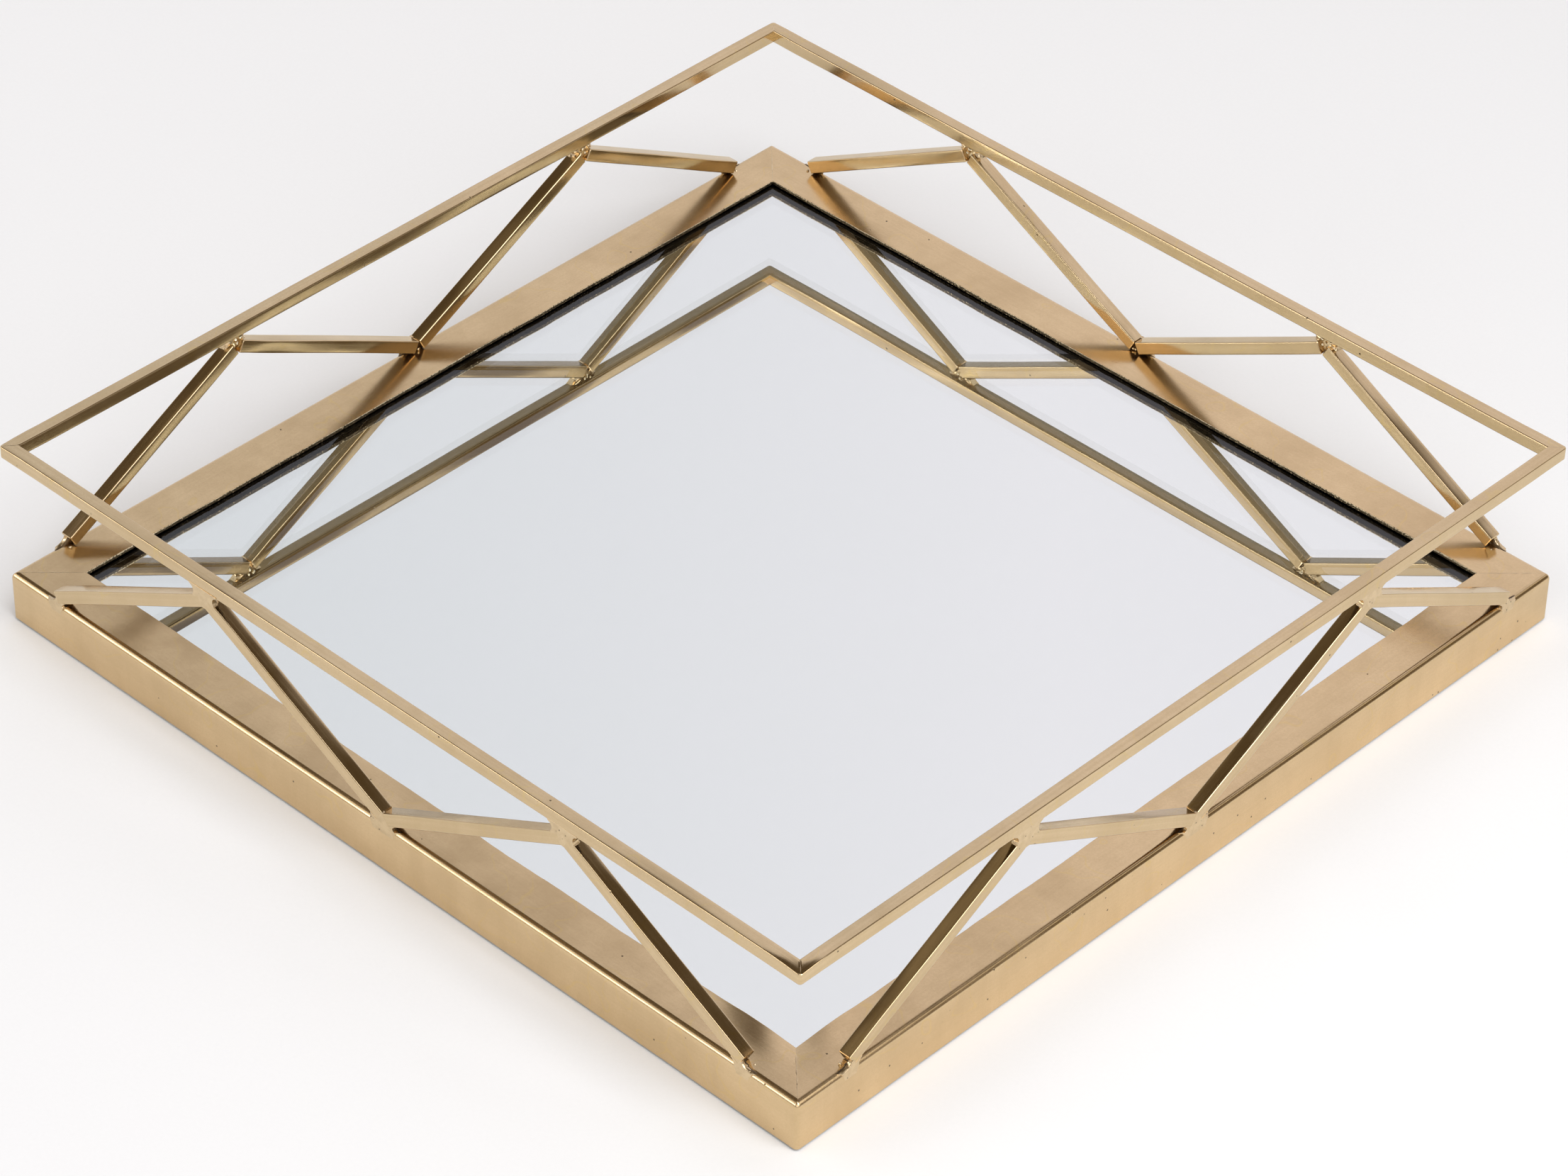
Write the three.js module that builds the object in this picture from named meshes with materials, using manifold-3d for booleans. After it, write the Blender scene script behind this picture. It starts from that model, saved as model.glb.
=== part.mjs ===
// Square vanity tray. A folded sheet rail frames a mirror, and zigzag struts carry
// a raised square rim above it. Millimetres, +Z up, origin at the centre of the underside.
// Each side is built once along the front (-Y) and turned a quarter turn for the next one.

import * as THREE from 'three';
import { mergeVertices } from 'three/addons/utils/BufferGeometryUtils.js';
import Module from 'manifold-3d';

const wasm = await Module();
wasm.setup();

// Overall sizes
const TRAY_SIDE = 300;
const FRAME_LIFT = 0.6; // the felt stands this far below the rail
const RAIL_HEIGHT = 15.4;
const RAIL_FLANGE = 14.8;
const RAIL_SHEET = 1.2;
const RAIL_BEND_RADIUS = 1.5; // outside of the fold
const RAIL_CORNER_RADIUS = 1.2;
const RIM_HEIGHT = 59.0; // from the rail's lower edge to the top of the rim

// Square bar of the rim and the struts
const BAR = 4.0;
const BAR_EDGE_RADIUS = 0.35;
const RIM_CORNER_RADIUS = 0.8;

// Zigzag of struts along one side
const PEAK_OFFSET = 67.5; // from the middle of the side to where two struts meet under the rim
const PEAK_DROP = 5.6; // from the rim's underside to the struts' lowest point there
const END_FOOT_OFFSET = 129.5; // from the middle of the side to the foot of an outer strut

// Brazing metal
const BRAZE_DEPTH = 2.6;
const PEAK_BRAZE_REACH = 5.0; // along the rim, either side of the peak
const PEAK_BRAZE_LAP = 1.3; // along a strut's upper edge
const END_BRAZE_REACH = 5.0; // along the rail, outward from an outer strut's foot

// Mirror and backing, stacked under the flange
const GLASS_THICKNESS = 3.0;
const BOARD_THICKNESS = 9.0;
const PANEL_INSET = 2.7; // from the tray's outside to the edge of the glass and the board
const PANEL_CORNER_RADIUS = 1.5;
const FELT_INSET = 17.0;
const FELT_CORNER_RADIUS = 4.0;

// Clips that hold the board in
const CLIP_SHEET = 0.8;
const CLIP_HEIGHT = 8.0;
const CLIP_FOOT_INSET = 14.0;
const CLIP_WIDTH = 12.0;
const CLIP_OFFSET = 75.0;

// Clearances
const REST_GAP = 0.3; // between stacked pieces
const JOINT_GAP = 0.15; // between pieces that are soldered together
const BRAZE_GAP = 0.2; // between filler metal and the struts' cut ends

// Mesh fineness
const EDGE_SEGMENTS = 3;
const CORNER_SEGMENTS = 6;
const MERGE_TOLERANCE = 1e-4;

const HALF_SIDE = TRAY_SIDE / 2;
const RAIL_TOP = FRAME_LIFT + RAIL_HEIGHT;
const RIM_TOP = FRAME_LIFT + RIM_HEIGHT;
const RIM_UNDERSIDE = RIM_TOP - BAR;
const PEAK_HEIGHT = RIM_UNDERSIDE - PEAK_DROP;
const GLASS_TOP = RAIL_TOP - RAIL_SHEET - REST_GAP;
const BOARD_TOP = GLASS_TOP - GLASS_THICKNESS - REST_GAP;
const BOARD_UNDERSIDE = BOARD_TOP - BOARD_THICKNESS;
const FELT_THICKNESS = BOARD_UNDERSIDE - REST_GAP;
const CLIP_UNDERSIDE = BOARD_UNDERSIDE - REST_GAP - CLIP_SHEET;

const SIDES = ['front', 'right', 'back', 'left'];

const MATERIALS = {
  sheet: { color: '#cdb183', roughness: 0.32, metalness: 1.0 },
  bar: { color: '#cbae7c', roughness: 0.26, metalness: 1.0 },
  braze: { color: '#d3bb8b', roughness: 0.38, metalness: 1.0 },
  mirror: { color: '#e4e7ea', roughness: 0.03, metalness: 1.0 },
  board: { color: '#8a6a46', roughness: 0.85, metalness: 0.0 },
  felt: { color: '#23231f', roughness: 0.98, metalness: 0.0 },
  clip: { color: '#b9a075', roughness: 0.45, metalness: 1.0 },
};

const tray = new THREE.Group();

function addPiece(parent, name, geometry, finish) {
  const mesh = new THREE.Mesh(geometry, new THREE.MeshStandardMaterial(MATERIALS[finish]));
  mesh.name = name;
  parent.add(mesh);
  return mesh;
}

function toSolid(geometry) {
  const bare = geometry.clone();
  bare.deleteAttribute('normal');
  bare.deleteAttribute('uv');
  const merged = mergeVertices(bare, MERGE_TOLERANCE);
  return new wasm.Manifold(new wasm.Mesh({
    numProp: 3,
    vertProperties: Float32Array.from(merged.attributes.position.array),
    triVerts: Uint32Array.from(merged.index.array),
  }));
}

function toGeometry(solid) {
  const mesh = solid.getMesh();
  const geometry = new THREE.BufferGeometry();
  geometry.setAttribute('position', new THREE.BufferAttribute(mesh.vertProperties, mesh.numProp));
  geometry.setIndex(new THREE.BufferAttribute(mesh.triVerts, 1));
  geometry.computeVertexNormals();
  return geometry;
}

// A closed outline from plain [x, y] corners.
function polygon(corners) {
  return new THREE.Shape(corners.map(([x, y]) => new THREE.Vector2(x, y)));
}

// A rectangle between two corners, with every corner rounded.
function roundedRectangle(left, bottom, right, top, radius) {
  const shape = new THREE.Shape();
  shape.absarc(right - radius, bottom + radius, radius, -Math.PI / 2, 0);
  shape.absarc(right - radius, top - radius, radius, 0, Math.PI / 2);
  shape.absarc(left + radius, top - radius, radius, Math.PI / 2, Math.PI);
  shape.absarc(left + radius, bottom + radius, radius, Math.PI, 1.5 * Math.PI);
  shape.closePath();
  return shape;
}

function extrude(shape, depth, curveSegments = EDGE_SEGMENTS) {
  return new THREE.ExtrudeGeometry(shape, { depth, curveSegments, bevelEnabled: false });
}

// A section drawn as (inset from the outer face, height), run along the front side.
// Both ends are mitred at 45 degrees, and the vertical outer corner is rounded.
function mitredBar(section, cornerRadius) {
  const geometry = extrude(section, 1);
  const position = geometry.attributes.position;
  for (let i = 0; i < position.count; i += 1) {
    const inset = position.getX(i);
    const height = position.getY(i);
    const along = 2 * position.getZ(i) - 1;
    const halfLength = HALF_SIDE - inset - JOINT_GAP / 2;
    position.setXYZ(i, along * halfLength, inset - HALF_SIDE, height);
  }
  const outline = roundedRectangle(-HALF_SIDE, -HALF_SIDE, HALF_SIDE, HALF_SIDE, cornerRadius);
  const tallerThanTray = 2 * RIM_TOP;
  const envelope = extrude(outline, tallerThanTray, CORNER_SEGMENTS);
  return toGeometry(toSolid(geometry).intersect(toSolid(envelope)));
}

// A section in the side's own plane, as (along the side, height), given a depth inward.
function sidePlate(shape, depth) {
  const geometry = extrude(shape, depth);
  geometry.rotateX(Math.PI / 2);
  geometry.translate(0, depth - HALF_SIDE, 0);
  return geometry;
}

function railSection() {
  const top = RAIL_TOP;
  const bend = RAIL_BEND_RADIUS;
  const insideBend = RAIL_BEND_RADIUS - RAIL_SHEET;
  const shape = new THREE.Shape();
  shape.moveTo(0, FRAME_LIFT);
  shape.lineTo(RAIL_SHEET, FRAME_LIFT);
  shape.lineTo(RAIL_SHEET, top - bend);
  shape.absarc(bend, top - bend, insideBend, Math.PI, Math.PI / 2, true);
  shape.lineTo(RAIL_FLANGE, top - RAIL_SHEET);
  shape.lineTo(RAIL_FLANGE, top);
  shape.lineTo(bend, top);
  shape.absarc(bend, top - bend, bend, Math.PI / 2, Math.PI);
  shape.closePath();
  return shape;
}

function rimSection() {
  return roundedRectangle(0, RIM_UNDERSIDE, BAR, RIM_TOP, BAR_EDGE_RADIUS);
}

// A square-cut strut whose lower edge runs from foot to peak, both [along, height].
function strut(foot, peak) {
  const run = peak[0] - foot[0];
  const rise = peak[1] - foot[1];
  const length = Math.hypot(run, rise);
  const section = roundedRectangle(-BAR / 2, -BAR / 2, BAR / 2, BAR / 2, BAR_EDGE_RADIUS);
  const geometry = extrude(section, length);
  geometry.translate(0, 0, -length / 2);
  geometry.rotateY(Math.PI / 2);
  geometry.rotateY(-Math.atan2(rise, run));
  const facing = Math.sign(run);
  const upAlong = -facing * (rise / length) * (BAR / 2);
  const upHeight = facing * (run / length) * (BAR / 2);
  geometry.translate(
    (foot[0] + peak[0]) / 2 + upAlong,
    BAR / 2 - HALF_SIDE,
    (foot[1] + peak[1]) / 2 + upHeight,
  );
  return geometry;
}

// How far a square-cut end leans: its upper corner from its lower corner.
function endLean(run, rise) {
  const length = Math.hypot(run, rise);
  return { across: (BAR * rise) / length, up: (BAR * run) / length };
}

const footHeight = RAIL_TOP + JOINT_GAP;
const strutRise = PEAK_HEIGHT - footHeight;
const innerLean = endLean(PEAK_OFFSET, strutRise);
const outerLean = endLean(END_FOOT_OFFSET - PEAK_OFFSET, strutRise);

// The feet and peaks of one side's struts, from one end of the side to the other.
function strutLines() {
  const innerFoot = innerLean.across + JOINT_GAP / 2;
  const outward = [END_FOOT_OFFSET, PEAK_OFFSET + JOINT_GAP / 2];
  const inward = [innerFoot, PEAK_OFFSET - JOINT_GAP / 2];
  const lines = [];
  for (const side of [-1, 1]) {
    for (const [foot, peak] of [outward, inward]) {
      lines.push({ foot: [side * foot, footHeight], peak: [side * peak, PEAK_HEIGHT] });
    }
  }
  return lines;
}

// Metal that fills the notch between two struts and flares out under the rim.
// half is 1 for the peak on the positive half of the side and -1 for the other.
function peakBraze(half) {
  const lap = PEAK_BRAZE_LAP / BAR;
  const flank = (lean, outward) => [
    [outward * (lean.across - BRAZE_GAP), PEAK_HEIGHT + lean.up],
    [outward * lean.across, PEAK_HEIGHT + lean.up + BRAZE_GAP],
    [outward * (lean.across + lap * lean.up), PEAK_HEIGHT + lean.up - lap * lean.across + BRAZE_GAP],
    [outward * PEAK_BRAZE_REACH, RIM_UNDERSIDE - JOINT_GAP],
  ];
  const notchFloor = [0, PEAK_HEIGHT + 2 * JOINT_GAP];
  const outline = [notchFloor, ...flank(outerLean, 1), ...flank(innerLean, -1).reverse()];
  const placed = outline.map(([along, height]) => [half * (PEAK_OFFSET + along), height]);
  return sidePlate(polygon(placed), BRAZE_DEPTH);
}

// Metal between the square-cut ends of the two middle struts, standing on the rail.
function middleBraze() {
  const halfBase = innerLean.across - BRAZE_GAP;
  const outline = [
    [-halfBase, footHeight],
    [halfBase, footHeight],
    [0, footHeight + innerLean.up - 2 * BRAZE_GAP],
  ];
  return sidePlate(polygon(outline), BRAZE_DEPTH);
}

// Metal under the square-cut end of an outer strut, ramped down to the rail.
function endBraze(half) {
  const shoulder = footHeight + outerLean.up - BRAZE_GAP;
  const outline = [
    [BRAZE_GAP, footHeight],
    [END_BRAZE_REACH, footHeight],
    [outerLean.across + 2 * BRAZE_GAP, shoulder],
    [outerLean.across + BRAZE_GAP, shoulder],
  ];
  const placed = outline.map(([along, height]) => [half * (END_FOOT_OFFSET + along), height]);
  return sidePlate(polygon(placed), BRAZE_DEPTH);
}

// A folded clip: its leg is soldered to the rail's wall, its foot holds the board up.
function clip() {
  const wall = RAIL_SHEET + JOINT_GAP;
  const section = polygon([
    [wall, CLIP_UNDERSIDE],
    [CLIP_FOOT_INSET, CLIP_UNDERSIDE],
    [CLIP_FOOT_INSET, CLIP_UNDERSIDE + CLIP_SHEET],
    [wall + CLIP_SHEET, CLIP_UNDERSIDE + CLIP_SHEET],
    [wall + CLIP_SHEET, CLIP_UNDERSIDE + CLIP_HEIGHT],
    [wall, CLIP_UNDERSIDE + CLIP_HEIGHT],
  ]);
  const geometry = extrude(section, CLIP_WIDTH);
  geometry.translate(-HALF_SIDE, 0, -CLIP_WIDTH / 2);
  geometry.rotateX(Math.PI / 2);
  geometry.rotateZ(Math.PI / 2);
  return geometry;
}

function addPanel(name, inset, top, thickness, cornerRadius, finish) {
  const half = HALF_SIDE - inset;
  const outline = roundedRectangle(-half, -half, half, half, cornerRadius);
  addPiece(tray, name, extrude(outline, thickness), finish).position.z = top - thickness;
}

for (const [turn, side] of SIDES.entries()) {
  const group = new THREE.Group();
  group.rotation.z = (turn * Math.PI) / 2;
  tray.add(group);
  addPiece(group, `base_rail_${side}`, mitredBar(railSection(), RAIL_CORNER_RADIUS), 'sheet');
  addPiece(group, `rim_bar_${side}`, mitredBar(rimSection(), RIM_CORNER_RADIUS), 'bar');
  for (const [index, line] of strutLines().entries()) {
    addPiece(group, `strut_${side}_${index + 1}`, strut(line.foot, line.peak), 'bar');
  }
  addPiece(group, `foot_braze_${side}_middle`, middleBraze(), 'braze');
  for (const [end, half] of [['start', -1], ['end', 1]]) {
    addPiece(group, `peak_braze_${side}_${end}`, peakBraze(half), 'braze');
    addPiece(group, `foot_braze_${side}_${end}`, endBraze(half), 'braze');
    addPiece(group, `board_clip_${side}_${end}`, clip(), 'clip').position.x = half * CLIP_OFFSET;
  }
}

addPanel('mirror_glass', PANEL_INSET, GLASS_TOP, GLASS_THICKNESS, PANEL_CORNER_RADIUS, 'mirror');
addPanel('backing_board', PANEL_INSET, BOARD_TOP, BOARD_THICKNESS, PANEL_CORNER_RADIUS, 'board');
addPanel('felt_pad', FELT_INSET, FELT_THICKNESS, FELT_THICKNESS, FELT_CORNER_RADIUS, 'felt');

export default tray;
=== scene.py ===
import math
import random

import bmesh
import bpy
from mathutils import Matrix, Vector, noise


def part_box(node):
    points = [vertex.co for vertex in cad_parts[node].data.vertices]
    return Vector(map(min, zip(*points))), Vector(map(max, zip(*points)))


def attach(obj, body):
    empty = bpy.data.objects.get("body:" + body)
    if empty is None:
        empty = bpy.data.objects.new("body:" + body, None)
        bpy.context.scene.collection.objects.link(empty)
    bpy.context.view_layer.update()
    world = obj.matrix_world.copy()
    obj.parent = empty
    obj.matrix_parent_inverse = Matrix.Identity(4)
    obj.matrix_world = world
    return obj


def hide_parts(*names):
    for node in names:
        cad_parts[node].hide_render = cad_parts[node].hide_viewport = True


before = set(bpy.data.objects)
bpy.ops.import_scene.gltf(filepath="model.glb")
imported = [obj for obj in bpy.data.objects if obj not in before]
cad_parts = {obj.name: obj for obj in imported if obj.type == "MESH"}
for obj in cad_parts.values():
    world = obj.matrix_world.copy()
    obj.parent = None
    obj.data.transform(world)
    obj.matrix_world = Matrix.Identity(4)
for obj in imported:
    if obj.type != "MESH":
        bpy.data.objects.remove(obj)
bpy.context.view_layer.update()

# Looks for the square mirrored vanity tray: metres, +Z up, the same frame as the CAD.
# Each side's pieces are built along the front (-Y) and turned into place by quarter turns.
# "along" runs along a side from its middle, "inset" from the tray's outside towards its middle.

MM = 0.001
SIDES = ("front", "right", "back", "left")
ENDS = ("start", "end")
QUARTER_TURN = math.pi / 2
INWARD = Vector((0.0, 1.0, 0.0))  # on the front side

# Sizes read from the frame
RAIL_LOW, RAIL_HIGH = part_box("base_rail_front")
RIM_LOW, RIM_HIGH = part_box("rim_bar_front")
HALF_SIDE = -RAIL_LOW[1]
RAIL_BOTTOM, RAIL_TOP = RAIL_LOW[2], RAIL_HIGH[2]
FLANGE = RAIL_HIGH[1] - RAIL_LOW[1]
RIM_UNDERSIDE, RIM_TOP = RIM_LOW[2], RIM_HIGH[2]
BAR = RIM_TOP - RIM_UNDERSIDE

# Sizes of the finished metal that the frame does not state
SHEET = 1.2 * MM
CLIP_SHEET = 0.8 * MM
FOLD_RADIUS = 2.0 * MM
BASE_CORNER_RADIUS = 1.25 * MM
RIM_CORNER_RADIUS = 1.0 * MM
BAR_EDGE_RADIUS = 0.32 * MM
BAR_CROWN = 0.02 * MM
CUT_EDGE_RADIUS = 0.14 * MM


# ---- materials

def new_material(name):
    """A material, its node tree, its Principled shader, and the object coordinates."""
    material = bpy.data.materials.new(name)
    material.use_nodes = True
    tree = material.node_tree
    place = add_node(tree, "ShaderNodeTexCoord").outputs["Object"]
    return material, tree, tree.nodes["Principled BSDF"], place


def add_node(tree, kind, **settings):
    """A new node with the given properties set."""
    node = tree.nodes.new(kind)
    for key, value in settings.items():
        setattr(node, key, value)
    return node


def noise_texture(tree, vector, scale, detail, roughness):
    """A noise texture's factor. scale is its lumps per metre, or a triple with one for each axis."""
    if isinstance(scale, tuple):
        mapping = add_node(tree, "ShaderNodeMapping")
        mapping.inputs["Scale"].default_value = scale
        tree.links.new(vector, mapping.inputs["Vector"])
        vector = mapping.outputs["Vector"]
        scale = 1.0
    texture = add_node(tree, "ShaderNodeTexNoise")
    texture.inputs["Scale"].default_value = scale
    texture.inputs["Detail"].default_value = detail
    texture.inputs["Roughness"].default_value = roughness
    tree.links.new(vector, texture.inputs["Vector"])
    return texture.outputs["Fac"]


def remap(tree, value, old_range, new_range=(0.0, 1.0), smooth=False):
    """The value carried from the old range to the new one, and held at its ends."""
    kind = "SMOOTHSTEP" if smooth else "LINEAR"
    node = add_node(tree, "ShaderNodeMapRange", interpolation_type=kind)
    node.inputs["From Min"].default_value, node.inputs["From Max"].default_value = old_range
    node.inputs["To Min"].default_value, node.inputs["To Max"].default_value = new_range
    tree.links.new(value, node.inputs["Value"])
    return node.outputs["Result"]


def feed(tree, socket, value):
    """Link the value to the socket if it is a socket too, or else set it there."""
    if isinstance(value, bpy.types.NodeSocket):
        tree.links.new(value, socket)
    else:
        socket.default_value = value


def mix_colour(tree, factor, first, second):
    """first and second are colours or sockets."""
    node = add_node(tree, "ShaderNodeMix", data_type="RGBA")
    tree.links.new(factor, node.inputs["Factor"])
    for key, value in (("A", first), ("B", second)):
        socket = next(s for s in node.inputs if s.name == key and s.type == "RGBA")
        feed(tree, socket, (*value, 1.0) if isinstance(value, tuple) else value)
    return next(s for s in node.outputs if s.type == "RGBA")


def calculate(tree, operation, first, second=0.0):
    """first and second are numbers or sockets."""
    node = add_node(tree, "ShaderNodeMath", operation=operation)
    feed(tree, node.inputs[0], first)
    feed(tree, node.inputs[1], second)
    return node.outputs["Value"]


def axis(tree, vector, name):
    """One coordinate of a vector."""
    split = add_node(tree, "ShaderNodeSeparateXYZ")
    tree.links.new(vector, split.inputs["Vector"])
    return split.outputs[name]


def shade(colour, share):
    """The colour made darker."""
    return tuple(share * channel for channel in colour)


def bump(tree, height, distance, previous=None):
    """A normal bumped by the height, laid over a previous bump if there is one."""
    node = add_node(tree, "ShaderNodeBump")
    node.inputs["Strength"].default_value = 1.0
    node.inputs["Distance"].default_value = distance
    tree.links.new(height, node.inputs["Height"])
    if previous is not None:
        tree.links.new(previous, node.inputs["Normal"])
    return node.outputs["Normal"]


def connect(tree, shader, colour, roughness, normal=None, metallic=0.0):
    """Feed the shader's main sockets. roughness and metallic are numbers or sockets."""
    tree.links.new(colour, shader.inputs["Base Color"])
    feed(tree, shader.inputs["Roughness"], roughness)
    feed(tree, shader.inputs["Metallic"], metallic)
    if normal is not None:
        tree.links.new(normal, shader.inputs["Normal"])


def pit_mask(tree, vector, density, size):
    """1 inside sparse round spots, 0 elsewhere. density is in cells per metre: about one in
    eight has a spot, and size is the spot's radius as a share of the cell."""
    cells = add_node(tree, "ShaderNodeTexVoronoi", feature="F1")
    cells.inputs["Scale"].default_value = density
    tree.links.new(vector, cells.inputs["Vector"])
    picked = add_node(tree, "ShaderNodeSeparateColor")
    tree.links.new(cells.outputs["Color"], picked.inputs["Color"])
    rare = remap(tree, picked.outputs["Red"], (0.86, 0.90))
    near = remap(tree, cells.outputs["Distance"], (size, size * 0.6))
    return calculate(tree, "MULTIPLY", rare, near)


def gold_material(
        name, light, dark, roughness, lines, tarnish,
        line_depth, streak_depth, ripple_depth, sand_depth):
    """Plated metal: lines drawn along the grain, a slow ripple, sandy grain, tarnish and pits, and
    painted shade on the faces that look down.
    lines and tarnish say how far the dark colour comes through."""
    material, tree, shader, place = new_material(name)
    grain = add_node(tree, "ShaderNodeUVMap", uv_map="grain").outputs["UV"]
    fine_lines = noise_texture(tree, grain, (22.0, 5200.0, 1.0), detail=4.0, roughness=0.65)
    broad_lines = noise_texture(tree, grain, (9.0, 900.0, 1.0), detail=2.0, roughness=0.5)
    clouds = noise_texture(tree, place, 38.0, detail=4.0, roughness=0.6)
    drops = noise_texture(tree, place, 85.0, detail=1.0, roughness=0.4)
    ripple = noise_texture(tree, place, 62.0, detail=1.5, roughness=0.4)
    sand = noise_texture(tree, place, 1500.0, detail=4.0, roughness=0.75)
    rubbed = noise_texture(tree, place, (150.0, 150.0, 11.0), detail=3.0, roughness=0.55)
    pits = pit_mask(tree, place, 260.0, 0.09)

    def darken(colour, pattern, pattern_range, most):
        return mix_colour(tree, remap(tree, pattern, pattern_range, (0.0, most)), colour, dark)

    colour = darken(light, clouds, (0.36, 0.68), tarnish)
    colour = darken(colour, broad_lines, (0.35, 0.75), lines)
    colour = darken(colour, sand, (0.35, 0.7), 0.32)
    colour = darken(colour, rubbed, (0.45, 0.75), 0.25)
    from_drop_edge = calculate(tree, "ABSOLUTE", calculate(tree, "SUBTRACT", drops, 0.60))
    stained = remap(tree, from_drop_edge, (0.0, 0.012), (0.32, 0.0))
    colour = mix_colour(tree, stained, colour, (light[0] * 0.97, light[1] * 0.93, light[2] * 0.55))
    colour = mix_colour(tree, pits, colour, shade(dark, 0.25))
    # Painted shade: faces that look down are darkened towards the dark colour, standing for the shade
    # under the bars and sheets.
    facing = add_node(tree, "ShaderNodeTexCoord").outputs["Normal"]
    painted_underside_shade = remap(tree, axis(tree, facing, "Z"), (-0.6, -0.85))
    colour = mix_colour(tree, painted_underside_shade, colour, shade(dark, 0.4))

    streaked = remap(tree, fine_lines, (0.3, 0.7), (-0.12 * lines, 0.12 * lines))
    clouded = remap(tree, clouds, (0.3, 0.7), (roughness - 0.05, roughness + 0.05))
    normal = bump(tree, ripple, ripple_depth)
    normal = bump(tree, sand, sand_depth, normal)
    normal = bump(tree, broad_lines, streak_depth, normal)
    normal = bump(tree, fine_lines, line_depth, normal)
    normal = bump(tree, calculate(tree, "SUBTRACT", 1.0, pits), 0.05 * MM, normal)
    connect(tree, shader, colour, calculate(tree, "ADD", streaked, clouded), normal, metallic=1.0)
    return material


def braze_material(name, light, dark, roughness, lump_depth):
    """Filler metal: the same plating over a run, uneven surface."""
    material, tree, shader, place = new_material(name)
    clouds = noise_texture(tree, place, 420.0, detail=4.0, roughness=0.6)
    lumps = noise_texture(tree, place, 900.0, detail=3.0, roughness=0.55)
    pits = pit_mask(tree, place, 900.0, 0.22)
    colour = mix_colour(tree, remap(tree, clouds, (0.4, 0.7), (0.0, 0.7)), light, dark)
    colour = mix_colour(tree, pits, colour, shade(dark, 0.2))
    clouded = remap(tree, clouds, (0.3, 0.7), (roughness - 0.06, roughness + 0.1))
    normal = bump(tree, lumps, lump_depth)
    normal = bump(tree, calculate(tree, "SUBTRACT", 1.0, pits), 0.06 * MM, normal)
    connect(tree, shader, colour, clouded, normal, metallic=1.0)
    return material


def sheared_edge_material():
    """The sheet's cut edge: rough and near black, partly its own dull raw tone and partly painted
    shade for the dark line along the flange's inner edge, with bright specks where the plating took
    and a broken painted highlight along its upper arris."""
    material, tree, shader, place = new_material("sheared_edge")
    specks = noise_texture(tree, place, 1900.0, detail=3.0, roughness=0.7)
    drag = noise_texture(tree, place, (700.0, 700.0, 2600.0), detail=3.0, roughness=0.6)
    # The near-black edge colour is partly the raw edge's dull tone and partly painted shade.
    dull_and_painted_shade, plated, painted_arris_highlight = (0.05, 0.038, 0.024), (0.72, 0.58, 0.36), (0.80, 0.66, 0.43)
    colour = mix_colour(tree, remap(tree, drag, (0.35, 0.7)), dull_and_painted_shade, (0.13, 0.098, 0.058))
    colour = mix_colour(tree, remap(tree, specks, (0.58, 0.66)), colour, plated)
    # Painted highlight: a broken, lighter and less metallic line along the edge's upper arris.
    arris = remap(tree, axis(tree, place, "Z"), (RAIL_TOP - 0.32 * MM, RAIL_TOP - 0.2 * MM))
    arris_highlight_mask = calculate(tree, "MULTIPLY", arris, remap(tree, specks, (0.42, 0.50)))
    colour = mix_colour(tree, arris_highlight_mask, colour, painted_arris_highlight)
    roughness = remap(tree, drag, (0.3, 0.7), (0.38, 0.6))
    metallic = remap(tree, arris_highlight_mask, (0.0, 1.0), (1.0, 0.35))
    connect(tree, shader, colour, roughness, bump(tree, drag, 0.05 * MM), metallic)
    return material


def glass_material():
    """Clear glass, faintly smeared."""
    material, tree, shader, place = new_material("mirror_glass")
    smears = noise_texture(tree, place, 26.0, detail=5.0, roughness=0.6)
    tint = mix_colour(tree, smears, (0.965, 0.975, 0.965), (0.955, 0.97, 0.955))
    connect(tree, shader, tint, remap(tree, smears, (0.5, 0.8), (0.0, 0.025)))
    shader.inputs["Transmission Weight"].default_value = 1.0
    shader.inputs["IOR"].default_value = 1.52
    return material


def silver_material():
    """The bright layer behind the glass."""
    material, tree, shader, place = new_material("mirror_silver")
    haze = noise_texture(tree, place, 14.0, detail=3.0, roughness=0.5)
    colour = mix_colour(tree, haze, (0.925, 0.94, 0.935), (0.94, 0.95, 0.945))
    connect(tree, shader, colour, remap(tree, haze, (0.3, 0.8), (0.004, 0.02)), metallic=1.0)
    return material


def board_material():
    """Brown fibreboard, blotched, with its fibres along y."""
    material, tree, shader, place = new_material("fibreboard")
    fibres = noise_texture(tree, place, (900.0, 260.0, 900.0), detail=5.0, roughness=0.7)
    clouds = noise_texture(tree, place, 30.0, detail=3.0, roughness=0.5)
    dark, light = (0.27, 0.16, 0.08), (0.44, 0.29, 0.16)
    colour = mix_colour(tree, remap(tree, fibres, (0.3, 0.75)), dark, light)
    blotched = remap(tree, clouds, (0.3, 0.8), (0.0, 0.4))
    colour = mix_colour(tree, blotched, colour, (0.22, 0.13, 0.07))
    roughness = remap(tree, fibres, (0.3, 0.7), (0.75, 0.92))
    connect(tree, shader, colour, roughness, bump(tree, fibres, 0.08 * MM))
    return material


def felt_material():
    """Black felt: fuzz over soft tufts."""
    material, tree, shader, place = new_material("felt")
    fuzz = noise_texture(tree, place, 2600.0, detail=4.0, roughness=0.75)
    tufts = noise_texture(tree, place, 310.0, detail=4.0, roughness=0.6)
    black, grey = (0.012, 0.012, 0.012), (0.045, 0.044, 0.042)
    colour = mix_colour(tree, remap(tree, fuzz, (0.3, 0.7)), black, grey)
    tufted = remap(tree, tufts, (0.45, 0.75), (0.0, 0.5))
    colour = mix_colour(tree, tufted, colour, (0.06, 0.058, 0.055))
    normal = bump(tree, fuzz, 0.12 * MM, bump(tree, tufts, 0.25 * MM))
    connect(tree, shader, colour, remap(tree, tufts, (0.3, 0.7), (0.88, 1.0)), normal)
    shader.inputs["Sheen Weight"].default_value = 0.35
    shader.inputs["Sheen Roughness"].default_value = 0.6
    return material


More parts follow.
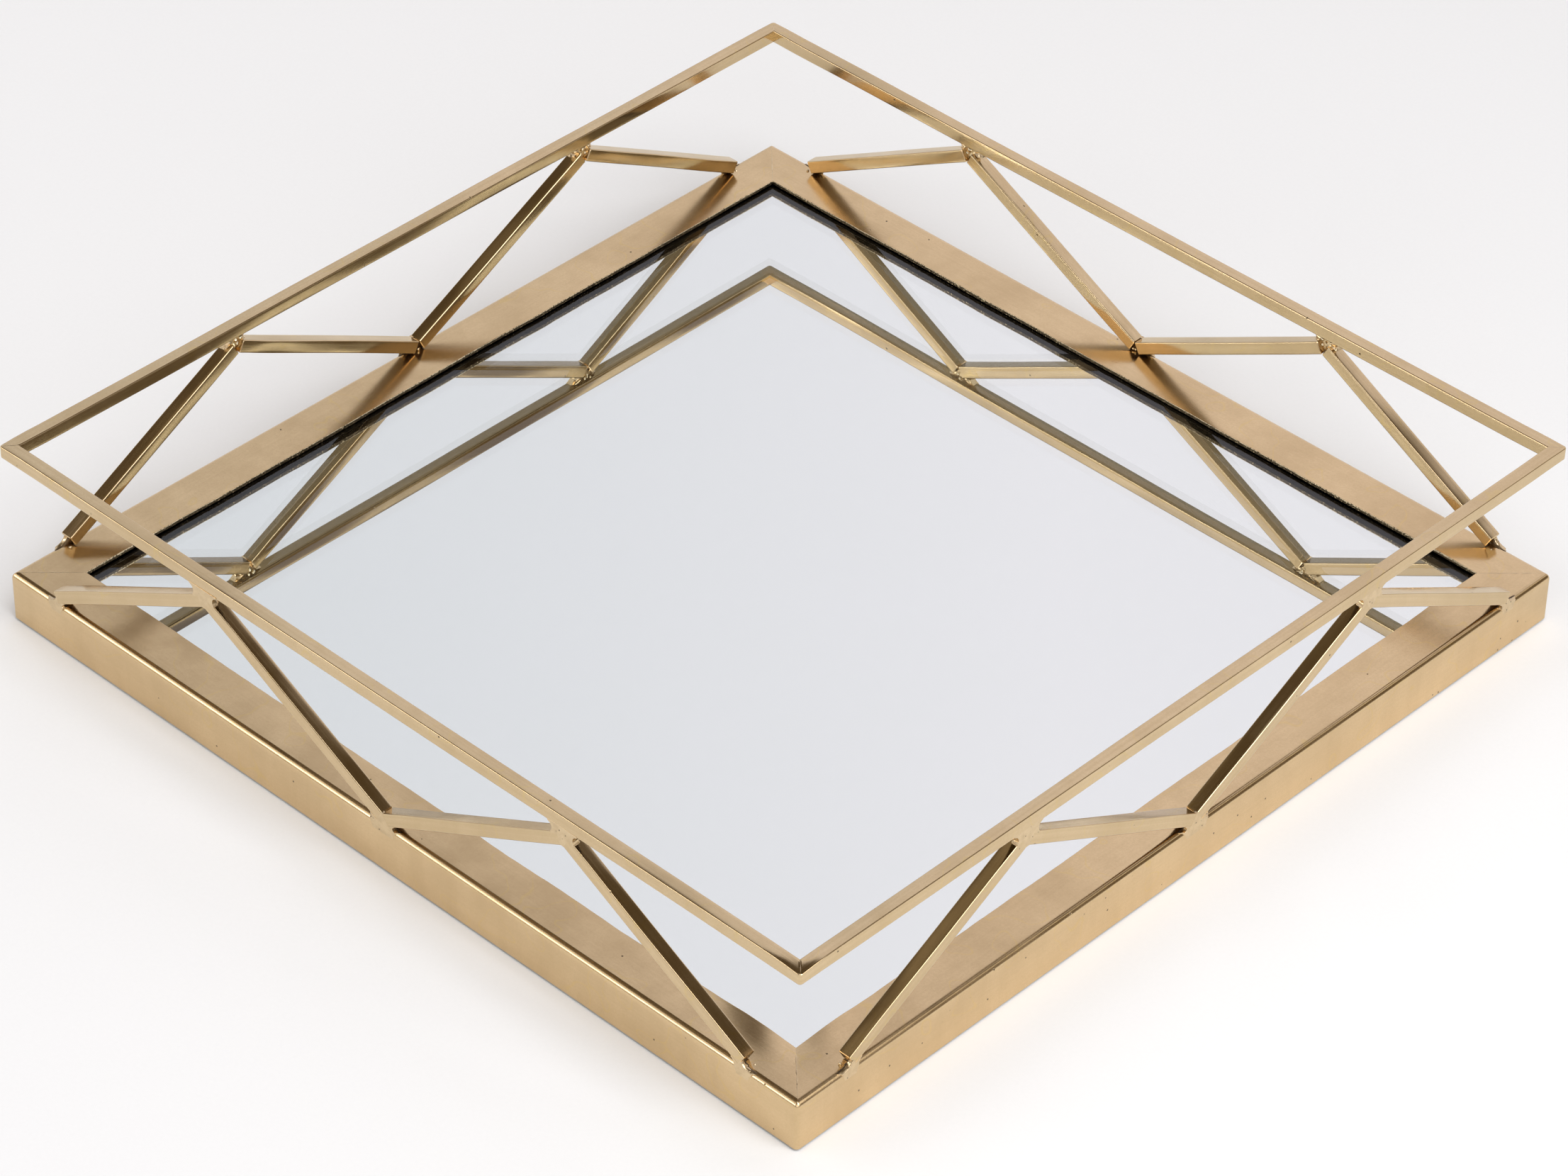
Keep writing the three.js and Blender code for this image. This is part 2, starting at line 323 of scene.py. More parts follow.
def floor_material():
    """Pale matt paper."""
    material, tree, shader, place = new_material("studio_floor")
    paper = noise_texture(tree, place, 900.0, detail=3.0, roughness=0.6)
    colour = mix_colour(tree, paper, (0.85, 0.865, 0.87), (0.88, 0.895, 0.90))
    connect(tree, shader, colour, 0.9)
    shader.inputs["Specular IOR Level"].default_value = 0.2
    return material


SHEET_GOLD = gold_material(
    "gold_sheet", (0.75, 0.563, 0.33), (0.54, 0.385, 0.205), roughness=0.2, lines=0.15, tarnish=0.42,
    line_depth=0.0006 * MM, streak_depth=0.0013 * MM, ripple_depth=0.06 * MM, sand_depth=0.0040 * MM)
BAR_GOLD = gold_material(
    "gold_bar", (0.72, 0.56, 0.345), (0.53, 0.39, 0.21), roughness=0.14, lines=0.4, tarnish=0.4,
    line_depth=0.0006 * MM, streak_depth=0.005 * MM, ripple_depth=0.028 * MM, sand_depth=0.00025 * MM)
CLIP_GOLD = gold_material(
    "gold_clip", (0.66, 0.50, 0.30), (0.46, 0.33, 0.17), roughness=0.32, lines=0.3, tarnish=0.6,
    line_depth=0.002 * MM, streak_depth=0.0044 * MM, ripple_depth=0.05 * MM, sand_depth=0.002 * MM)
BRAZE_GOLD = braze_material(
    "gold_braze", (0.70, 0.545, 0.335), (0.54, 0.40, 0.235), roughness=0.18, lump_depth=0.010 * MM)
BEAD_GOLD = braze_material(
    "solder_bead", (0.78, 0.68, 0.48), (0.56, 0.43, 0.25), roughness=0.16, lump_depth=0.06 * MM)
# Painted shade: a near-black braze for the inner parts of the feet's fillers, standing for the shaded
# gap under each strut's end.
BRAZE_PAINTED_SHADE = braze_material(
    "braze_painted_shade", (0.15, 0.105, 0.06), (0.04, 0.028, 0.016), roughness=0.42, lump_depth=0.03 * MM)
CUT_EDGE = sheared_edge_material()
GLASS = glass_material()
SILVER = silver_material()
BOARD = board_material()
FELT = felt_material()


# ---- mesh helpers

SHARP_ANGLE = math.radians(35)
FLAT_FACE_WEIGHT = 80


def side_turn(side):
    """The turn that carries a piece from the front to its own side."""
    return Matrix.Rotation(SIDES.index(side) * QUARTER_TURN, 4, "Z")


def put_in_scene(name, data):
    """A new object in the scene with the given mesh, light or camera."""
    thing = bpy.data.objects.new(name, data)
    bpy.context.scene.collection.objects.link(thing)
    return thing


def make_piece(name, rings, material, side="front", node=None, grained=False):
    """A mesh object on the tray's one body, lofted over rings of points. If it replaces a CAD node it
    hides that node. A grained piece has texture coordinates along its length."""
    points, faces, grain = loft(rings)
    mesh = bpy.data.meshes.new(name)
    turn = side_turn(side)
    mesh.from_pydata([turn @ point for point in points], [], faces)
    if grained:
        layer = mesh.uv_layers.new(name="grain")
        for loop, pair in zip(layer.data, grain):
            loop.uv = pair
    mesh.materials.append(material)
    mesh.shade_smooth()
    mesh.set_sharp_from_angle(angle=SHARP_ANGLE)
    piece = put_in_scene(name, mesh)
    flat = piece.modifiers.new("flat_faces_stay_flat", "WEIGHTED_NORMAL")
    flat.weight = FLAT_FACE_WEIGHT
    flat.keep_sharp = True
    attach(piece, "root")
    if node is not None:
        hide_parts(node)
    return piece


def paint_faces(piece, material, is_chosen):
    """Give the chosen faces of a piece a second material."""
    piece.data.materials.append(material)
    for face in piece.data.polygons:
        if is_chosen(face):
            face.material_index = 1


def loft(rings):
    """Points and faces of a closed skin over the rings, with a flat face on each end, and its
    grain: one (along, across) pair for every face corner."""
    size = len(rings[0])
    points = [point for ring in rings for point in ring]
    along = [0.0]
    for first, second in zip(rings, rings[1:]):
        along.append(along[-1] + (second[0] - first[0]).length)
    middle = rings[len(rings) // 2]
    around = [0.0]
    for j in range(size):
        around.append(around[-1] + (middle[(j + 1) % size] - middle[j]).length)
    faces = []
    grain = []
    for i in range(len(rings) - 1):
        for j in range(size):
            k = (j + 1) % size
            faces.append((i * size + j, i * size + k, (i + 1) * size + k, (i + 1) * size + j))
            grain += [(along[i], around[j]), (along[i], around[j + 1])]
            grain += [(along[i + 1], around[j + 1]), (along[i + 1], around[j])]
    faces.append(tuple(reversed(range(size))))
    faces.append(tuple(range((len(rings) - 1) * size, len(rings) * size)))
    end_corners = list(reversed(range(size))) + list(range(size))
    grain += [(middle[j].y, middle[j].z) for j in end_corners]
    return points, faces, grain


def arc(centre, radius, start, end, steps):
    """Points on an arc, angles in degrees, both ends included."""
    result = []
    for i in range(steps + 1):
        angle = math.radians(start + (end - start) * i / steps)
        result.append((centre[0] + radius * math.cos(angle), centre[1] + radius * math.sin(angle)))
    return result


def rounded_box_outline(left, bottom, right, top, radius, steps):
    """A rectangle with round corners, anticlockwise from the lower right."""
    corners = (
        ((right - radius, bottom + radius), -90),
        ((right - radius, top - radius), 0),
        ((left + radius, top - radius), 90),
        ((left + radius, bottom + radius), 180),
    )
    outline = []
    for centre, start in corners:
        outline += arc(centre, radius, start, start + 90, steps)
    return outline


def bar_outline():
    """The square bar's section about its own middle: rounded edges, and faces a little crowned."""
    half = BAR / 2
    pull_in = BAR_CROWN / half
    outline = []
    corners = rounded_box_outline(-half, -half, half, half, BAR_EDGE_RADIUS, 4)
    per_corner = len(corners) // 4
    for quarter in range(4):
        outline += corners[quarter * per_corner:(quarter + 1) * per_corner]
        last = Vector(outline[-1])
        following = Vector(corners[(quarter + 1) * per_corner % len(corners)])
        outline += [tuple(last.lerp(following, share)) for share in (0.2, 0.4, 0.6, 0.8)]
    crowned = []
    for across, upward in outline:
        crowned.append((
            across * (1 - pull_in * (upward / half) ** 2),
            upward * (1 - pull_in * (across / half) ** 2)))
    return crowned


def wander(along, seed, wavelength):
    """A smooth random curve between about -1 and 1."""
    return 2.0 * noise.noise(Vector((along / wavelength, seed * 7.31, 0.5)))


def fade(along, limit, width):
    """1 along the middle, easing to 0 at plus and minus limit."""
    x = min(max((limit - abs(along)) / width, 0.0), 1.0)
    return x * x * (3 - 2 * x)


# ---- bars that go round the corners

def side_rings(section, corner_radius, stations, shift):
    """Rings of a section run along the front side, from the middle of one corner to the middle
    of the next. section holds (inset, height) pairs; shift(inset, height, along) says how far a
    point is nudged inwards and upwards. What lies within the corner's radius turns round it, and
    the rest meets the next side in a mitre."""
    corner_steps = 5
    mitre_tail = 0.6 * MM  # the mitred bar's last stretch, shared out over the corner's steps
    rings = []

    def ring(straight, corner, end):
        """straight runs from -1 to 1 along the side, corner from 0 to 1 round the corner at end."""
        points = []
        for inset, height in section:
            if inset < corner_radius:
                reach = HALF_SIDE - corner_radius
                angle = corner * math.pi / 4
                along = straight * reach + end * (corner_radius - inset) * math.sin(angle)
                outward = reach + (corner_radius - inset) * math.cos(angle)
            else:
                reach = HALF_SIDE - inset
                along = straight * (reach - mitre_tail * (1 - corner))
                outward = reach
            nudge_in, nudge_up = shift(inset, height, along)
            points.append(Vector((along, -outward + nudge_in, height + nudge_up)))
        return points

    for step in range(corner_steps, 0, -1):
        rings.append(ring(-1.0, step / corner_steps, -1))
    for i in range(stations + 1):
        rings.append(ring(-1.0 + 2.0 * i / stations, 0.0, 1))
    for step in range(1, corner_steps + 1):
        rings.append(ring(1.0, step / corner_steps, 1))
    return rings


def rail_section():
    """The folded angle: an upright wall and a flat flange, with softened cut edges."""
    inside_fold = FOLD_RADIUS - SHEET
    cut = CUT_EDGE_RADIUS
    wall = RAIL_TOP - RAIL_BOTTOM
    fold_centre = (FOLD_RADIUS, RAIL_TOP - FOLD_RADIUS)
    outline = arc((cut, RAIL_BOTTOM + cut), cut, 180, 270, 3)
    outline += arc((SHEET - cut, RAIL_BOTTOM + cut), cut, 270, 360, 3)
    outline += [(SHEET, RAIL_BOTTOM + wall * share) for share in (0.3, 0.6)]
    outline += arc(fold_centre, inside_fold, 180, 90, 4)
    outline += [(FLANGE * share, RAIL_TOP - SHEET) for share in (0.4, 0.7)]
    outline += arc((FLANGE - cut, RAIL_TOP - SHEET + cut), cut, 270, 360, 3)
    outline += arc((FLANGE - cut, RAIL_TOP - cut), cut, 0, 90, 3)
    outline += [(FLANGE * share, RAIL_TOP) for share in (0.7, 0.4)]
    outline += arc(fold_centre, FOLD_RADIUS, 90, 180, 10)
    outline += [(0.0, RAIL_BOTTOM + wall * share) for share in (0.6, 0.3)]
    return outline


# How far welding has lifted the flange beside each corner, named by the side that starts there
CORNER_LIFT = {"front": 0.16 * MM, "right": 0.62 * MM, "back": 0.26 * MM, "left": 0.12 * MM}
# How steeply the top of the rim has been ground down across each corner
CORNER_SLOPE = {"front": 0.045, "right": 0.088, "back": 0.02, "left": 0.02}


def at_corner(amounts, side, along):
    """The amount at whichever of the side's two corners is nearer."""
    turns = 1 if along > 0 else 0
    return amounts[SIDES[(SIDES.index(side) + turns) % 4]]


def flange_lift(side, inset, along):
    """The flange stands highest at its inner edge, a little way from the mitre."""
    lift_starts = 2.5 * MM
    hump_place, hump_width = 13 * MM, 10 * MM
    from_mitre = HALF_SIDE - inset - abs(along)
    rise = max(0.0, (inset - lift_starts) / (FLANGE - lift_starts)) ** 1.5
    hump = math.exp(-((from_mitre - hump_place) / hump_width) ** 2)
    return at_corner(CORNER_LIFT, side, along) * rise * hump


def rim_ground(side, inset, along):
    """How much lower the rim's top is where its corner was ground to a slope."""
    reach = 7.5 * MM
    soft = 1.0 * MM
    inside = reach - (HALF_SIDE - abs(along)) - inset
    return at_corner(CORNER_SLOPE, side, along) * 0.5 * (inside + math.hypot(inside, soft))


def build_rail(side):
    """One side of the base: its free edge waves a little and its flange is slightly dished."""
    seed = SIDES.index(side)
    stations = 180
    edge_wave = 0.16 * MM
    dish = 0.10 * MM
    wall_wave = 0.05 * MM

    def shift(inset, height, along):
        hold = fade(along, HALF_SIDE - FLANGE, 30 * MM)
        free = max(0.0, (inset - FOLD_RADIUS) / (FLANGE - FOLD_RADIUS)) ** 2
        wave = wander(along, seed, 26 * MM) + 0.35 * wander(along, seed, 4 * MM)
        nudge_in = edge_wave * free * wave
        nudge_up = dish * free * wander(along, seed + 11, 60 * MM)
        if height < RAIL_TOP - 3 * FOLD_RADIUS:
            nudge_in += wall_wave * (1 + wander(along, seed + 23, 70 * MM))
        return nudge_in * hold, nudge_up * hold + flange_lift(side, inset, along)

    rings = side_rings(rail_section(), BASE_CORNER_RADIUS, stations, shift)
    rail = make_piece(f"rail_{side}", rings, SHEET_GOLD, side, f"base_rail_{side}", grained=True)
    inward = side_turn(side) @ INWARD
    flange_tip = -HALF_SIDE + FLANGE - 2 * CUT_EDGE_RADIUS

    def is_cut_edge(face):
        return face.normal.dot(inward) > 0.6 and face.center.dot(inward) > flange_tip

    paint_faces(rail, CUT_EDGE, is_cut_edge)


def build_rim_bar(side):
    """One side of the rim, a little bowed and rolled, with its top ground at the corners."""
    seed = SIDES.index(side) + 40
    stations = 70
    bow = 0.06 * MM
    section = []
    for across, upward in bar_outline():
        section.append((across + BAR / 2, upward + RIM_UNDERSIDE + BAR / 2))

    def shift(inset, height, along):
        hold = fade(along, HALF_SIDE - BAR, 12 * MM)
        roll = 0.05 * hold * wander(along, seed + 3, 45 * MM)
        nudge_in = bow * (1 + wander(along, seed, 80 * MM)) - roll * (height - RIM_TOP)
        nudge_up = -bow * (1 + wander(along, seed + 9, 90 * MM)) + roll * (inset - BAR / 2)
        upper_part = (height - RIM_UNDERSIDE) / BAR
        return nudge_in * hold, nudge_up * hold - rim_ground(side, inset, along) * upper_part

    rings = side_rings(section, RIM_CORNER_RADIUS, stations, shift)
    make_piece(f"rim_{side}", rings, BAR_GOLD, side, f"rim_bar_{side}", grained=True)


# ---- struts

# From a side's start to its end its struts are 1, 2, 4 and 3: 1 and 2 meet at the rim, 2 and 4
# stand together on the middle of the rail, and 4 and 3 meet at the rim.
STRUT_RISES_TOWARDS = {1: 1, 2: -1, 3: -1, 4: 1}
PEAKS = {"start": (1, 2), "end": (3, 4)}
END_FEET = {"start": 1, "end": 3}
MIDDLE_FOOT = 4


def strut_line(number):
    """Centre, run direction, upward normal and length of a strut in the side's own plane,
    as (along, height), worked out from its box."""
    low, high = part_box(f"strut_front_{number}")
    width, rise = high[0] - low[0], high[2] - low[2]
    slope = math.atan2(rise, width)
    # The box holds the bar's thickness too, so each step takes that off and the slope settles
    for _ in range(30):
        slope = math.atan2(rise - BAR * math.cos(slope), width - BAR * math.sin(slope))
    length = (width - BAR * math.sin(slope)) / math.cos(slope)
    towards = STRUT_RISES_TOWARDS[number]
    run = Vector((towards * math.cos(slope), math.sin(slope)))
    up = Vector((-towards * math.sin(slope), math.cos(slope)))
    centre = Vector(((low[0] + high[0]) / 2, (low[2] + high[2]) / 2))
    return centre, run, up, length


def strut_top(number):
    """The middle of a strut's upper end face, as (along, height)."""
    centre, run, _, length = strut_line(number)
    return centre + run * length / 2


def peak_along(outer, inner):
    """Where along the side two struts meet under the rim."""
    return (strut_top(outer).x + strut_top(inner).x) / 2


def build_strut(side, number):
    """One strut, cut square, and a little bowed, sunk and twisted between its ends."""
    centre, run, up, length = strut_line(number)
    seed = SIDES.index(side) * 4 + number + 60
    stations = 24
    end_round = 0.2 * MM
    outline = bar_outline()

    def ring(distance, size):
        hold = fade(distance, length / 2, 12 * MM)
        bow = 0.07 * MM * hold * wander(distance, seed, 40 * MM)
        sink = 0.04 * MM * hold * (1 + wander(distance, seed + 5, 30 * MM))
        twist = 0.035 * hold * wander(distance, seed + 8, 28 * MM)
        points = []
        for flat_across, flat_upward in outline:
            across = flat_across - twist * flat_upward
            upward = flat_upward + twist * flat_across
            spot = centre + run * distance + up * (upward * size + bow)
            points.append(Vector((spot.x, -HALF_SIDE + BAR / 2 + across * size + sink, spot.y)))
        return points

    cut_face = 1.0 - end_round / (BAR / 2)
    reach = length / 2 - end_round
    rings = [ring(-length / 2, cut_face)]
    rings += [ring(-reach + 2 * reach * i / stations, 1.0) for i in range(stations + 1)]
    rings.append(ring(length / 2, cut_face))
    if STRUT_RISES_TOWARDS[number] < 0:
        rings.reverse()
    name, node = f"bar_{side}_{number}", f"strut_{side}_{number}"
    make_piece(name, rings, BAR_GOLD, side, node, grained=True)


# ---- brazed joints

# How far a filler laps over the bars it joins
LAP = 0.45 * MM
# A filler's depth in mm, its size as a share of its outline, and its share of the unevenness
FILLER_STEPS = (
    (-0.018, 0.985, 0.0), (0.015, 1.0, 0.0), (0.5, 1.0, 0.05), (1.0, 1.0, 0.25), (1.5, 0.99, 0.6),
    (1.9, 0.97, 0.9), (2.25, 0.92, 1.0), (2.5, 0.83, 1.0), (2.65, 0.68, 1.0), (2.72, 0.4, 1.0),
)


def curve(start, control, end, steps=7):
    """A quadratic curve, both ends included."""
    points = []
    for i in range(steps + 1):
        t = i / steps
        points.append((1 - t) ** 2 * start + 2 * t * (1 - t) * control + t ** 2 * end)
    return points


def resample(outline, spacing):
    """The closed outline with extra points, so that no edge is longer than spacing."""
    result = []
    for first, second in zip(outline, outline[1:] + outline[:1]):
        pieces = max(1, math.ceil((second - first).length / spacing))
        result += [first.lerp(second, i / pieces) for i in range(pieces)]
    return result


def clockwise(outline):
    """The outline, reversed if it ran the other way."""
    area = sum(a.cross(b) for a, b in zip(outline, outline[1:] + outline[:1]))
    return outline if area < 0 else outline[::-1]


def filler(name, outline, side, node, seed, reach=1.0, spread_below=0.0):
    """Filler metal between the bars: ground flush outside and uneven inside, where reach is its
    share of the full depth. Below the height spread_below it widens over the rail's fold."""
    outline = resample(clockwise(outline), 0.4 * MM)
    middle = sum(outline, Vector((0.0, 0.0))) / len(outline)
    ground_depth = 0.5  # mm
    widening = 0.16  # share of the width for every mm
    rings = []
    for depth, size, uneven in FILLER_STEPS:
        ring = []
        for spot in outline:
            outward = spot - middle
            lumps_at = Vector((spot.x * 900, spot.y * 900, depth * 0.9 + seed * 3.7))
            lump = uneven * noise.noise(lumps_at)
            place = middle + outward * size + outward.normalized() * lump * 0.35 * MM
            if spot.y < spread_below:
                place.x += (spot.x - middle.x) * widening * min(max(depth, 0.0), FOLD_RADIUS / MM)
            inward = depth * (reach if depth > ground_depth else 1.0) * MM + lump * 0.3 * MM
            ring.append(Vector((place.x, -HALF_SIDE + inward, place.y)))
        rings.append(ring)
    return make_piece(name, rings, BRAZE_GOLD, side, node)


def foot_filler(side, spot, outline, seed, reach):
    """A foot's filler, with its inner part painted near-black as shade, where it lies in the gap
    under the strut's end.
    """
    name, node = f"foot_filler_{side}_{spot}", f"foot_braze_{side}_{spot}"
    piece = filler(name, outline, side, node, seed, reach, spread_below=RAIL_TOP)
    inward = side_turn(side) @ INWARD
    # Faces deeper than this get the painted shade.
    painted_shade_from = -HALF_SIDE + 1.1 * MM
    paint_faces(piece, BRAZE_PAINTED_SHADE, lambda face: face.center.dot(inward) > painted_shade_from)


def peak_flank(number, peak):
    """The filler's edge on one side of a peak: from the rim, along the strut, into the notch."""
    _, run, up, _ = strut_line(number)
    top_corner = strut_top(number) + up * BAR / 2
    low_corner = strut_top(number) - up * BAR / 2
    outward = math.copysign(1.0, top_corner.x - peak)
    on_rim = Vector((peak + outward * 5.3 * MM, RIM_UNDERSIDE))
    on_bar = top_corner - run * 2.6 * MM
    waist = Vector((top_corner.x + outward * 0.9 * MM, RIM_UNDERSIDE - 0.9 * MM))
    edge = [on_rim + Vector((0.0, LAP))]
    edge += curve(on_rim, waist, on_bar)
    edge.append(on_bar - up * LAP)
    edge.append(top_corner - run * LAP - up * LAP)
    edge.append(low_corner - run * LAP + up * 0.2 * MM)
    return edge


def build_peak_filler(side, end):
    """The filler in the notch between two struts and the rim."""
    outer, inner = PEAKS[end]
    peak = peak_along(outer, inner)
    outline = peak_flank(outer, peak) + peak_flank(inner, peak)[::-1]
    seed = SIDES.index(side) * 3 + outer
    filler(f"peak_filler_{side}_{end}", outline, side, f"peak_braze_{side}_{end}", seed)


def foot_corners(number):
    """Lower and upper corner of a strut's cut end on the rail, with its run and its normal."""
    centre, run, up, length = strut_line(number)
    lower = centre - run * length / 2 - up * BAR / 2
    upper = centre - run * length / 2 + up * BAR / 2
    return lower, upper, run, up


def patch_below(start, end):
    """The lower edge of a foot's filler, where it was ground flush over the rail's fold."""
    onward = math.copysign(1.0, end - start)
    below = RAIL_TOP - FOLD_RADIUS - 0.9 * MM
    return [
        Vector((start, RAIL_TOP - 0.2 * MM)),
        Vector((start + onward * 0.2 * MM, RAIL_TOP - 1.0 * MM)),
        Vector((start + onward * 1.0 * MM, below)),
        Vector((end - onward * 1.0 * MM, below)),
        Vector((end - onward * 0.2 * MM, RAIL_TOP - 1.0 * MM)),
        Vector((end, RAIL_TOP - 0.2 * MM)),
    ]


def under_strut(number, landing):
    """Over a strut's face beside its cut end, out to its lower edge and down to the rail."""
    lower, _, run, up = foot_corners(number)
    on_bar = lower + run * 3.0 * MM
    crook = lower + run * 1.2 * MM - up * 0.25 * MM
    edge = [lower + run * LAP + up * LAP, on_bar + up * LAP]
    return edge + curve(on_bar, crook, Vector((landing, RAIL_TOP - 0.1 * MM)), 5)


def build_middle_filler(side):
    """The filler under the two struts that stand in the middle of a rail."""
    half_width = 4.7 * MM
    _, upper, run, up = foot_corners(MIDDLE_FOOT)
    right = [upper + run * LAP - up * 0.1 * MM] + under_strut(MIDDLE_FOOT, half_width)
    left = [Vector((-spot.x, spot.y)) for spot in right]
    outline = right + patch_below(half_width, -half_width) + left[::-1]
    foot_filler(side, "middle", outline, seed=SIDES.index(side) + 31, reach=0.68)


def build_end_filler(side, end):
    """The filler under the strut that stands near a corner: it ramps up to the cut end."""
    number = END_FEET[end]
    lower, upper, run, _ = foot_corners(number)
    outward = math.copysign(1.0, lower.x)
    inner_landing = lower.x - outward * 1.6 * MM
    outer_landing = lower.x + outward * 4.4 * MM
    on_end = lower.lerp(upper, 0.5)
    ramp = curve(
        Vector((outer_landing, RAIL_TOP - 0.1 * MM)),
        Vector((on_end.x + outward * 0.7 * MM, RAIL_TOP + 0.35 * MM)),
        on_end + Vector((outward * 0.1 * MM, 0.0)))
    ramp.append(on_end + run * LAP)
    below = patch_below(inner_landing, outer_landing)
    outline = under_strut(number, inner_landing) + below + ramp
    foot_filler(side, end, outline, seed=SIDES.index(side) * 2 + number + 51, reach=0.62)


def add_bead(shape, centre, radii, seed):
    """One lump of filler that ran out of a joint."""
    made = bmesh.ops.create_icosphere(shape, subdivisions=3, radius=1.0)
    for vertex in made["verts"]:
        outward = vertex.co.copy()
        lump = 1.0 + 0.32 * noise.noise(outward * 1.7 + Vector((seed * 5.3, 0.0, 0.0)))
        lump += 0.10 * noise.noise(outward * 4.5 + Vector((0.0, seed * 2.9, 0.0)))
        vertex.co = Vector([c + r * o * lump for c, r, o in zip(centre, radii, outward)])


def finish_beads(name, shape, side):
    """The collected beads as one piece on their side of the tray."""
    for face in shape.faces:
        face.smooth = True
    mesh = bpy.data.meshes.new(name)
    shape.to_mesh(mesh)
    shape.free()
    mesh.transform(side_turn(side))
    mesh.materials.append(BEAD_GOLD)
    piece = put_in_scene(name, mesh)
    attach(piece, "root")


def build_beads(side):
    """The filler that stands out of the joints inside a side, and two beads on its corner."""
    random.seed(700 + SIDES.index(side))
    shape = bmesh.new()
    inner_face = -HALF_SIDE + BAR

    def scatter(along, height, count, spread, size=0.5 * MM):
        for _ in range(count):
            centre = (
                along + random.uniform(-spread, spread),
                inner_face - random.uniform(0.4, 1.2) * MM,
                height + random.uniform(-0.25, 0.25) * MM,
            )
            radii = [size * random.uniform(0.6, 1.1) for _ in range(3)]
            add_bead(shape, centre, radii, random.uniform(0, 90))

    for outer, inner in PEAKS.values():
        peak = peak_along(outer, inner)
        scatter(peak, RIM_UNDERSIDE - 0.9 * MM, count=3, spread=1.5 * MM)
        scatter(peak, RIM_UNDERSIDE - 2.4 * MM, count=1, spread=0.4 * MM)
    scatter(0.0, RAIL_TOP + 0.5 * MM, count=2, spread=1.1 * MM)
    for number in END_FEET.values():
        lower = foot_corners(number)[0]
        outward = math.copysign(1.0, lower.x)
        beside = lower.x + outward * 2.2 * MM
        scatter(beside, RAIL_TOP + 0.1 * MM, count=1, spread=0.5 * MM, size=0.45 * MM)
    corner = -HALF_SIDE + BASE_CORNER_RADIUS
    first = (corner + 0.6 * MM, corner - 0.1 * MM, RAIL_TOP - 0.75 * MM)
    second = (corner - 0.2 * MM, corner + 0.5 * MM, RAIL_TOP - 0.8 * MM)
    add_bead(shape, first, (0.42 * MM,) * 3, 3.1)
    add_bead(shape, second, (0.36 * MM,) * 3, 8.4)
    finish_beads(f"beads_{side}", shape, side)


def build_seam(name, starts, ends, side, width, proud, seed, surface):
    """A ground weld line along the mitre where this side starts, from one inset to another: it
    stands out only here and there. surface(inset) is the metal's height along the mitre."""
    start = Vector((starts - HALF_SIDE, starts - HALF_SIDE, 0.0))
    end = Vector((ends - HALF_SIDE, ends - HALF_SIDE, 0.0))
    across = Vector((0.0, 0.0, 1.0)).cross((end - start).normalized())
    stations = max(8, int((end - start).length / (0.35 * MM)))
    ring_points = 12
    rings = []
    for i in range(stations + 1):
        t = i / stations
        taper = math.sin(math.pi * min(max(t, 0.02), 0.98)) ** 0.3
        here = start.lerp(end, t)
        here.z = surface(HALF_SIDE + here.x)
        swell = taper * (0.6 + 0.8 * noise.noise(Vector((t * stations * 0.21, seed * 4.1, 0.0))))
        drift = 0.12 * MM * noise.noise(Vector((t * stations * 0.15, seed * 1.7, 9.0)))
        ring = []
        for step in range(ring_points):
            angle = -2 * math.pi * step / ring_points
            sideways = across * (0.5 * width * swell * math.cos(angle) + drift)
            ring.append(here + sideways + Vector((0.0, 0.0, proud * swell * math.sin(angle))))
        rings.append(ring)
    make_piece(name, rings, BRAZE_GOLD, side)


def build_corner_seams(side):
    """Weld lines at the corner where this side starts: on the flange and on the rim."""
    seed = SIDES.index(side)
    build_seam(
        f"base_seam_{side}", 2.0 * MM, FLANGE - 0.2 * MM, side, 0.5 * MM, 0.03 * MM, seed,
        lambda inset: RAIL_TOP + flange_lift(side, inset, inset - HALF_SIDE))
    build_seam(
        f"rim_seam_{side}", 0.9 * MM, BAR - 0.3 * MM, side, 0.4 * MM, 0.02 * MM, seed + 5,
        lambda inset: RIM_TOP - rim_ground(side, inset, inset - HALF_SIDE))


# ---- mirror, board, felt and clips

def slab_rings(half, bottom, top, corner_radius, edge_radius, edge_steps, uneven=0.0):
    """Rings of a flat square slab with round corners and softened top and bottom edges. An
    uneven slab's outline wanders inwards by up to that much."""
    corner_steps = 8
    rings = []
    profile = arc((0.0, bottom + edge_radius), edge_radius, -90, 0, edge_steps)
    profile += arc((0.0, top - edge_radius), edge_radius, 0, 90, edge_steps)
    for out, height in profile:
        reach = half - edge_radius + out
        radius = max(corner_radius - edge_radius + out, 0.05 * MM)
        corners = rounded_box_outline(-reach, -reach, reach, reach, radius, corner_steps)
        outline = [Vector(spot) for spot in corners]
        if uneven:
            outline = resample(outline, 4 * MM)
            for spot in outline:
                wave = noise.noise(Vector((spot.x * 45, spot.y * 45, 2.0)))
                spot *= 1.0 - uneven / half * (0.5 + 0.5 * wave)
        rings.append([Vector((spot.x, spot.y, height)) for spot in outline])
    return rings


def build_mirror():
    """The glass, and the silvered layer a hair's breadth behind it."""
    low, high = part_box("mirror_glass")
    half = high[0]
    silver_top, silver_bottom = low[2] - 0.02 * MM, low[2] - 0.22 * MM
    rings = slab_rings(half, low[2], high[2], 1.5 * MM, 0.4 * MM, 1)
    make_piece("mirror_glass_plate", rings, GLASS, node="mirror_glass")
    rings = slab_rings(half - 0.5 * MM, silver_bottom, silver_top, 1.2 * MM, 0.02 * MM, 1)
    make_piece("mirror_silvering", rings, SILVER)


def build_board():
    """The board that holds the mirror up."""
    low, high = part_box("backing_board")
    rings = slab_rings(high[0], low[2], high[2], 1.5 * MM, 0.35 * MM, 3)
    make_piece("backing_board_panel", rings, BOARD, node="backing_board")


